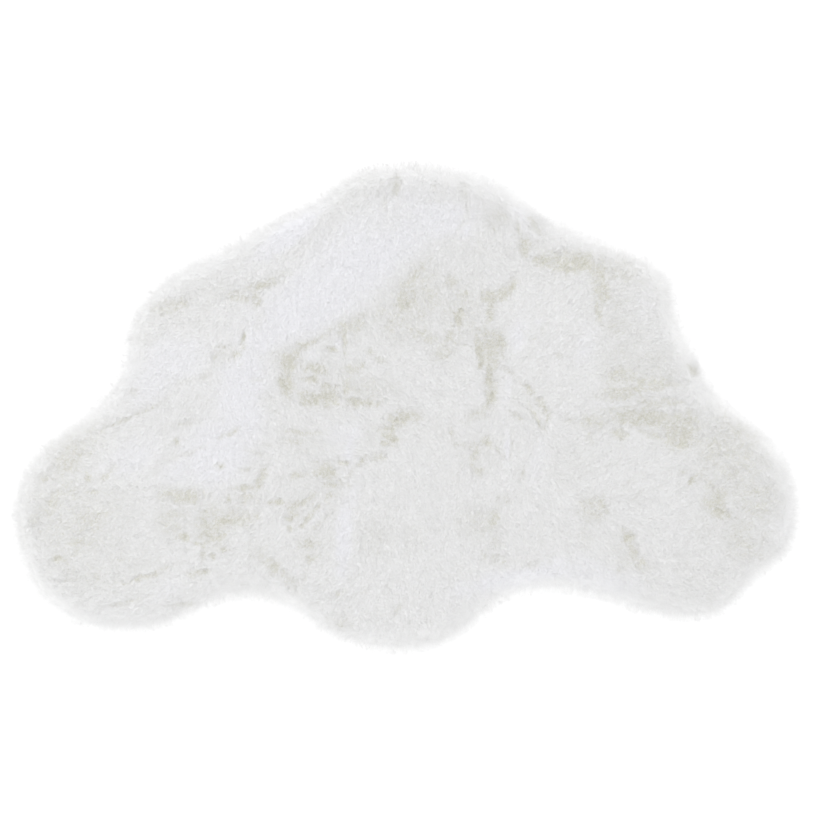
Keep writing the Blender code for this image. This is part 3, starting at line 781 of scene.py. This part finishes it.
# the way the pile lies: east and north are its heading, turned away from partings and out at the rim
east, north = np.zeros(grid_x.shape), np.zeros(grid_x.shape)
for x, y, reach, heading in rows(LAY):
    near = np.exp(-((grid_x - x * MM) ** 2 + (grid_y - y * MM) ** 2) / (reach * MM) ** 2) + 1e-6
    east += near * math.cos(math.radians(heading))
    north += near * math.sin(math.radians(heading))
length = np.hypot(east, north) + 1e-9
splay_y, splay_x = np.gradient(parted, MAP_STEP / MM)
east = east / length - PARTED_SPLAY * splay_x
north = north / length - PARTED_SPLAY * splay_y
turning = rippled(TURNING)
fan = FAN_STRENGTH * np.exp(-np.clip(inset, 0, None) / RIM_FAN)
lie = np.arctan2(north + fan * out_y, east + fan * out_x) + turning

# the relief of the locks, the rim's painted light (lit) and the tones from painted shade where parted (-)
# to a painted highlight where smoothed (+)
relief = MM * stroked(LOCK_RELIEF) + rippled(TUFT_RELIEF) + swellings(FOLDS) - PARTED_DEPTH * parted
relief *= np.clip(inset / RELIEF_INSET, 0, 1)
surface = np.clip(top + relief, 0, None)
slope_y, slope_x = np.gradient(relief + FORM_SHADE * top, MAP_STEP)
rim_depth = np.clip(inset - swellings(GLOW) + LOCK_REACH, 0, None)
lit = np.exp(-((rim_depth / RIM_FADE) ** RIM_CURVE)) * (1 - PARTED_UNLIT * np.clip(parted, 0, 1))
tones = smoothed - parted + stroked(LOCK_TONES)

# ---- The thick of the pile
# Below its tips the pile is too dense to see through: a soft, lumpy white body of massed fibre. It is
# a copy of the whole solid with its top lowered to just under the tips of the hairs.
BODY_DEPTH = 1.4 * MM
BODY_SPREAD = 5 * MM
BODY_LEAST = 1 * MM
BODY_LIFT = 0.3 * MM
BODY_BEVEL = 16 * MM
# the body's tone is a little darker than the hairs', as painted shade beneath them
BODY_SHADE_TONE = -0.1
BODY_LEAN = 1.2
LEAN_MOST = 0.8
SHARP_EDGE = math.radians(50)
TONE_LEAST = -1.5
TONE_MOST = 1.0
# the pile's tones: olive painted shade where it is parted, grey painted shade, its own white, a cool
# painted highlight where stroked
DEEP_PAINTED_SHADE = "#bebdb3"
PARTED_PAINTED_SHADE = "#cccbc2"
SHADED_GREY = "#d5d5d4"
PLAIN_WHITE = "#dadada"
STROKED_PAINTED_HIGHLIGHT = "#dddde0"
# the rim's painted light
RIM_PAINTED_LIGHT = "#f7f7f7"


def lean(x, y, factor):
    """How far a normal leans from upright at each point, for the slope of the pile there."""
    limits = (-LEAN_MOST, LEAN_MOST)
    return [-factor * np.clip(read_map(slope, x, y), *limits) for slope in (slope_x, slope_y)]


def unit_normals(lean_x, lean_y):
    """Upright normals with this lean."""
    normals = np.stack((lean_x, lean_y, np.ones(len(lean_x))), 1)
    return normals / np.linalg.norm(normals, axis=1, keepdims=True)


def store(mesh, name, values):
    """Keeps a number for each vertex of a mesh, for its material to read."""
    mesh.attributes.new(name, "FLOAT", "POINT").data.foreach_set("value", values)


bpy.ops.object.mode_set(mode="EDIT")
bpy.ops.mesh.select_all(action="SELECT")
bpy.ops.mesh.subdivide(number_cuts=1)
bpy.ops.object.mode_set(mode="OBJECT")
corners = np.empty(len(pile.data.vertices) * 3)
pile.data.vertices.foreach_get("co", corners)
corners = corners.reshape(-1, 3)
body_x, body_y, body_z = corners.T  # views, which follow the corners as these move
bevel = np.clip(1 - read_map(inset, body_x, body_y) / BODY_BEVEL, 0, 1) ** 2
body_top = np.maximum((read_map(surface, body_x, body_y) - BODY_DEPTH) * (1 - bevel), BODY_LEAST)
underneath = body_z < BODY_LEAST
spread = BODY_SPREAD * (underneath & (read_map(inset, body_x, body_y) < EDGE_BAND))
corners[:, 0] += spread * read_map(out_x, body_x, body_y)
corners[:, 1] += spread * read_map(out_y, body_x, body_y)
corners[:, 2] = np.where(underneath, BODY_LIFT, body_top)
pile.data.vertices.foreach_set("co", corners.ravel())
# the body's colour: the pile's painted shade and highlight, darkened by its own painted shade, and the
# rim's painted light, full on its foot
store(pile.data, "tone", read_map(tones, body_x, body_y) + BODY_SHADE_TONE)
store(pile.data, "rim", np.where(underneath, 1.0, read_map(lit, body_x, body_y)))
pile.data.update()
bpy.ops.object.shade_smooth_by_angle(angle=SHARP_EDGE)
facing = unit_normals(*lean(body_x, body_y, BODY_LEAN))
loop_corner = np.empty(len(pile.data.loops), dtype=int)
pile.data.loops.foreach_get("vertex_index", loop_corner)
faces = pile.data.polygons
faces_up = np.repeat([face.normal.z > 0 for face in faces], [len(face.vertices) for face in faces])
pile.data.normals_split_custom_set(np.where(faces_up[:, None], facing[loop_corner], 0))


def fibre_colour(tree):
    """Adds the pile's white with painted light and shade: olive painted shade where it is parted, a cool
    painted highlight where it is stroked, painted light at the rim.
    """
    tone_read = add_node(tree, "ShaderNodeAttribute", {"attribute_name": "tone"})
    span = {"From Min": TONE_LEAST, "From Max": TONE_MOST}
    share = add_node(tree, "ShaderNodeMapRange", span, {"Value": tone_read.outputs["Fac"]})
    ramp = add_node(tree, "ShaderNodeValToRGB", None, {"Fac": share.outputs[0]})
    stops = ramp.color_ramp.elements
    stops[0].position, stops[0].color = 0.0, linear(DEEP_PAINTED_SHADE)
    stops[1].position, stops[1].color = 1.0, linear(STROKED_PAINTED_HIGHLIGHT)
    for position, colour in ((0.2, PARTED_PAINTED_SHADE), (0.4, SHADED_GREY), (0.6, PLAIN_WHITE)):
        stops.new(position).color = linear(colour)
    rim_read = add_node(tree, "ShaderNodeAttribute", {"attribute_name": "rim"})
    bright = add_node(tree, "ShaderNodeMix", {"data_type": "RGBA"}, {0: rim_read.outputs["Fac"]})
    tree.links.new(ramp.outputs[0], bright.inputs["A"])
    bright.inputs["B"].default_value = linear(RIM_PAINTED_LIGHT)
    return bright.outputs["Result"]


def body_material():
    """Massed polyester fibre, seen between the hairs: dull, lumpy from the tufts within it, and with the
    pile's painted light and shade in its colour.
    """
    material = bpy.data.materials.new("massed_white_fibre")
    material.use_nodes = True
    tree = material.node_tree
    shader = tree.nodes["Principled BSDF"]
    place = add_node(tree, "ShaderNodeTexCoord")
    lumps = {"Scale": 1 / (5 * MM), "Detail": 4.0}
    tufts = add_node(tree, "ShaderNodeTexNoise", lumps, {"Vector": place.outputs["Object"]})
    tree.links.new(fibre_colour(tree), shader.inputs["Base Color"])
    relief = {"Strength": 0.4, "Distance": 0.6 * MM}
    bump = add_node(tree, "ShaderNodeBump", relief, {"Height": tufts.outputs[0]})
    tree.links.new(bump.outputs[0], shader.inputs["Normal"])
    shader.inputs["Roughness"].default_value = 1.0
    return material


pile.data.materials.clear()
pile.data.materials.append(body_material())
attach(pile, "root")
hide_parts("fur_rug")

# ---- The pile
# Crimped polyester hairs about 20 mm long, bent over so that only the last few millimetres show. They
# hold together in fine tufts, and each one is a slim blade of two triangles, tapered to a point. Extra
# longer ones hang out over the rim, from the top of the pile and from its side.
HAIR_SPACING = 1.05 * MM
HAIR_WIDTH = 1.0 * MM
WIDTH_SPREAD = (0.7, 1.3)
HAIR_REACH = 4.8 * MM
REACH_SPREAD = (0.75, 1.25)
PARTED_SHORTER = 0.3
ROOT_SCATTER = 0.6
ROOT_INSET = (0.5, 8)  # mm
ROOT_SINK = 1.5 * MM
BEND_AT = 0.45
BEND_SINK = 0.7 * MM
TIP_RISE = (-0.9, 0.6)  # mm
STRAY_RISE = 1.5 * MM
STRAY_SHARE = 0.05
HAIR_LEAST = 0.7 * MM
FAN_SPREAD = 1.0
ANGLE_SPREAD = 0.75
SEEN_AT = 0.65
TONE_SPREAD = 0.13
PARTED_TONE_SPREAD = 0.15
HAIR_LEAN = 2.5
RIM_LEAN_LOSS = 1.6
LEAN_SPREAD = 0.22
RIM_HAIRS = 100000
RIM_SLIM = 0.5
RIM_UNDER = 0.3
UNDER_HEIGHTS = (0.1, 0.85)
RIM_SCATTER = 0.8  # mm
RIM_DEPTH = 11  # mm
RIM_REACH = (5, 21)  # mm
TOP_REACH_MORE = 6 * MM
RIM_STEPS = 14
PILE_PIECES = 5
BAKE_WIDTH = 0.008

chance = np.random.default_rng(5)
field = np.meshgrid(np.arange(low.x, high.x, HAIR_SPACING), np.arange(low.y, high.y, HAIR_SPACING))
root_x, root_y = (
    axis.ravel() + chance.uniform(-ROOT_SCATTER, ROOT_SCATTER, axis.size) * HAIR_SPACING for axis in field
)
on_cloth = read_map(inset, root_x, root_y) > chance.uniform(*ROOT_INSET, root_x.size) * MM
root_x, root_y = root_x[on_cloth], root_y[on_cloth]

starts = chance.integers(0, len(edge_points), RIM_HAIRS)
under = chance.uniform(0, 1, RIM_HAIRS) < RIM_UNDER
rim_x, rim_y = np.array([(point.x, point.y) for point in edge_points])[starts].T
rim_x, rim_y = (axis + chance.normal(0, RIM_SCATTER, RIM_HAIRS) * MM for axis in (rim_x, rim_y))
inward = np.where(under, 0, np.abs(chance.normal(0, RIM_DEPTH, RIM_HAIRS))) * MM
inward_x, inward_y = (inward * read_map(out, rim_x, rim_y) for out in (out_x, out_y))
heights = np.where(under, chance.uniform(*UNDER_HEIGHTS, RIM_HAIRS), 1.0)
share_up = np.append(np.ones(len(root_x)), heights)
root_x, root_y = np.append(root_x, rim_x - inward_x), np.append(root_y, rim_y - inward_y)
count = len(root_x)
at_rim = np.arange(count) >= count - RIM_HAIRS
from_top = share_up == 1

fanned = read_map(fan, root_x, root_y) * np.exp(chance.normal(0, FAN_SPREAD, count))
turn_x = read_map(east, root_x, root_y) + fanned * read_map(out_x, root_x, root_y)
turn_y = read_map(north, root_x, root_y) + fanned * read_map(out_y, root_x, root_y)
angle = np.arctan2(turn_y, turn_x) + read_map(turning, root_x, root_y)
angle += chance.normal(0, ANGLE_SPREAD, count)
go_x, go_y = np.cos(angle), np.sin(angle)
reach = HAIR_REACH * chance.uniform(*REACH_SPREAD, count)
rim_reach = chance.uniform(*RIM_REACH, count) * MM + TOP_REACH_MORE * from_top
reach = np.where(at_rim, rim_reach, reach) * (1 - PARTED_SHORTER * read_map(parted, root_x, root_y))


def along_hair(share):
    """The place on each hair, from above, at this share of the way to its tip."""
    return root_x + go_x * reach * share, root_y + go_y * reach * share


(bend_x, bend_y), (tip_x, tip_y), (seen_x, seen_y) = map(along_hair, (BEND_AT, 1, SEEN_AT))
root_z = read_map(surface, root_x, root_y) * share_up - ROOT_SINK * from_top
bend_z = (read_map(surface, bend_x, bend_y) - BEND_SINK) * share_up
tip_z = (read_map(surface, tip_x, tip_y) + chance.uniform(*TIP_RISE, count) * MM) * share_up
tip_z += STRAY_RISE * (chance.uniform(0, 1, count) < STRAY_SHARE)
root_z, bend_z, tip_z = (np.clip(height, HAIR_LEAST, None) for height in (root_z, bend_z, tip_z))

# each hair's tone: the painted shade and painted highlight of its place, with a random spread
uneven_tone = TONE_SPREAD + PARTED_TONE_SPREAD * read_map(parted, seen_x, seen_y)
tone = read_map(tones, seen_x, seen_y) + chance.normal(0, 1, count) * uneven_tone
tone = np.clip(tone, TONE_LEAST, TONE_MOST)
# the rim's painted light where each hair is seen, also easing its lean, then rounded into steps
rim = read_map(lit, seen_x, seen_y)
lean_factor = HAIR_LEAN - RIM_LEAN_LOSS * rim
rim = np.floor(rim * RIM_STEPS + chance.uniform(0, 1, count)) / RIM_STEPS
half = HAIR_WIDTH * chance.uniform(*WIDTH_SPREAD, count) * 0.5 * np.where(at_rim, RIM_SLIM, 1)
sway_x, sway_y = chance.normal(0, LEAN_SPREAD, (count, 2)).T


def bake_map(hair_tone, hair_rim, along):
    """A place on the baked picture for each corner, so that hairs of one shade share one patch of it."""
    share = (hair_tone - TONE_LEAST) / (TONE_MOST - TONE_LEAST)
    u = np.clip(share, 0.01, 0.99)[:, None] + np.array([0, BAKE_WIDTH, -BAKE_WIDTH, 0])
    v = (hair_rim[:, None] * RIM_STEPS + 0.1 + 0.8 * along) / (RIM_STEPS + 1)
    return np.stack((u, v), 2).reshape(-1, 2)


def hair_mesh(name, chosen):
    """One mesh of the chosen hairs: each is two triangles joined at the bend, wound to face up."""
    side_x, side_y = go_y[chosen] * half[chosen], -go_x[chosen] * half[chosen]
    corners = np.empty((len(chosen), 4, 3))
    corners[:, 0] = np.stack((root_x[chosen], root_y[chosen], root_z[chosen]), 1)
    corners[:, 1] = np.stack((bend_x[chosen] + side_x, bend_y[chosen] + side_y, bend_z[chosen]), 1)
    corners[:, 2] = np.stack((bend_x[chosen] - side_x, bend_y[chosen] - side_y, bend_z[chosen]), 1)
    corners[:, 3] = np.stack((tip_x[chosen], tip_y[chosen], tip_z[chosen]), 1)
    loops = (np.arange(len(chosen))[:, None] * 4 + np.array([0, 1, 2, 2, 1, 3])).ravel()
    mesh = bpy.data.meshes.new(name)
    mesh.vertices.add(len(chosen) * 4)
    mesh.vertices.foreach_set("co", corners.ravel())
    mesh.loops.add(len(loops))
    mesh.loops.foreach_set("vertex_index", loops)
    mesh.polygons.add(len(chosen) * 2)
    mesh.polygons.foreach_set("loop_start", np.arange(len(chosen) * 2) * 3)
    mesh.update(calc_edges=True)
    mesh.shade_smooth()
    along = np.tile([0.0, BEND_AT, BEND_AT, 1.0], (len(chosen), 1))
    store(mesh, "along", along.ravel())
    shades = bake_map(tone[chosen], rim[chosen], along)[loops]
    mesh.uv_layers.new(name="OFBake").data.foreach_set("uv", shades.ravel())
    store(mesh, "tone", np.repeat(tone[chosen], 4))
    store(mesh, "rim", np.repeat(rim[chosen], 4))
    corner_x, corner_y = corners[..., 0].ravel(), corners[..., 1].ravel()
    lean_x, lean_y = lean(corner_x, corner_y, np.repeat(lean_factor[chosen], 4))
    lean_x, lean_y = lean_x - np.repeat(sway_x[chosen], 4), lean_y - np.repeat(sway_y[chosen], 4)
    mesh.normals_split_custom_set_from_vertices(unit_normals(lean_x, lean_y))
    piece = bpy.data.objects.new(name, mesh)
    scene.collection.objects.link(piece)
    return piece


def hair_material():
    """Bright white polyester hair: matt with a faint sheen, with painted shade making it a little darker
    towards its root.
    """
    material = bpy.data.materials.new("white_polyester_hair")
    material.use_nodes = True
    tree = material.node_tree
    shader = tree.nodes["Principled BSDF"]
    along_read = add_node(tree, "ShaderNodeAttribute", {"attribute_name": "along"})
    # painted shade, darker towards the root of the hair
    shadow = {"From Min": 0.0, "From Max": 0.6, "To Min": 0.96, "To Max": 1.0}
    depth = add_node(tree, "ShaderNodeMapRange", shadow, {"Value": along_read.outputs["Fac"]})
    shaded = add_node(tree, "ShaderNodeMix", {"data_type": "RGBA", "blend_type": "MULTIPLY"})
    shaded.inputs["Factor"].default_value = 1.0
    tree.links.new(fibre_colour(tree), shaded.inputs["A"])
    tree.links.new(depth.outputs[0], shaded.inputs["B"])
    tree.links.new(shaded.outputs["Result"], shader.inputs["Base Color"])
    shader.inputs["Roughness"].default_value = 0.9
    shader.inputs["Specular IOR Level"].default_value = 0.2
    return material


hair_finish = hair_material()
for number, chosen in enumerate(np.array_split(np.argsort(root_x), PILE_PIECES), 1):
    piece = hair_mesh(f"pile_{number}", chosen)
    piece.data.materials.append(hair_finish)
    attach(piece, "root")

# ---- The floor and the light
# A plain matt white studio floor, under soft light from all round and from one large lamp at the
# upper left.
FLOOR_SIZE = 12.0
FLOOR_WHITE = "#fcfcfc"
WORLD_STRENGTH = 1.364
KEY_FROM = (-1.4, 1.6, 2.7)
KEY_SIZE = 1.8
KEY_WATTS = 26.5

bpy.ops.mesh.primitive_plane_add(size=FLOOR_SIZE, location=(0, 0, 0))
floor = bpy.context.active_object
floor.name = "floor"
floor_finish = bpy.data.materials.new("white_studio_floor")
floor_finish.use_nodes = True
floor_shader = floor_finish.node_tree.nodes["Principled BSDF"]
floor_shader.inputs["Base Color"].default_value = linear(FLOOR_WHITE)
floor_shader.inputs["Roughness"].default_value = 0.8
floor.data.materials.append(floor_finish)

scene.world = bpy.data.worlds.new("soft_light")
scene.world.use_nodes = True
background = scene.world.node_tree.nodes["Background"]
background.inputs["Color"].default_value = (1, 1, 1, 1)
background.inputs["Strength"].default_value = WORLD_STRENGTH

bpy.ops.object.light_add(type="AREA", location=KEY_FROM)
key = bpy.context.active_object
key.data.size = KEY_SIZE
key.data.energy = KEY_WATTS
key.rotation_euler = (-Vector(KEY_FROM)).to_track_quat("-Z", "Y").to_euler()
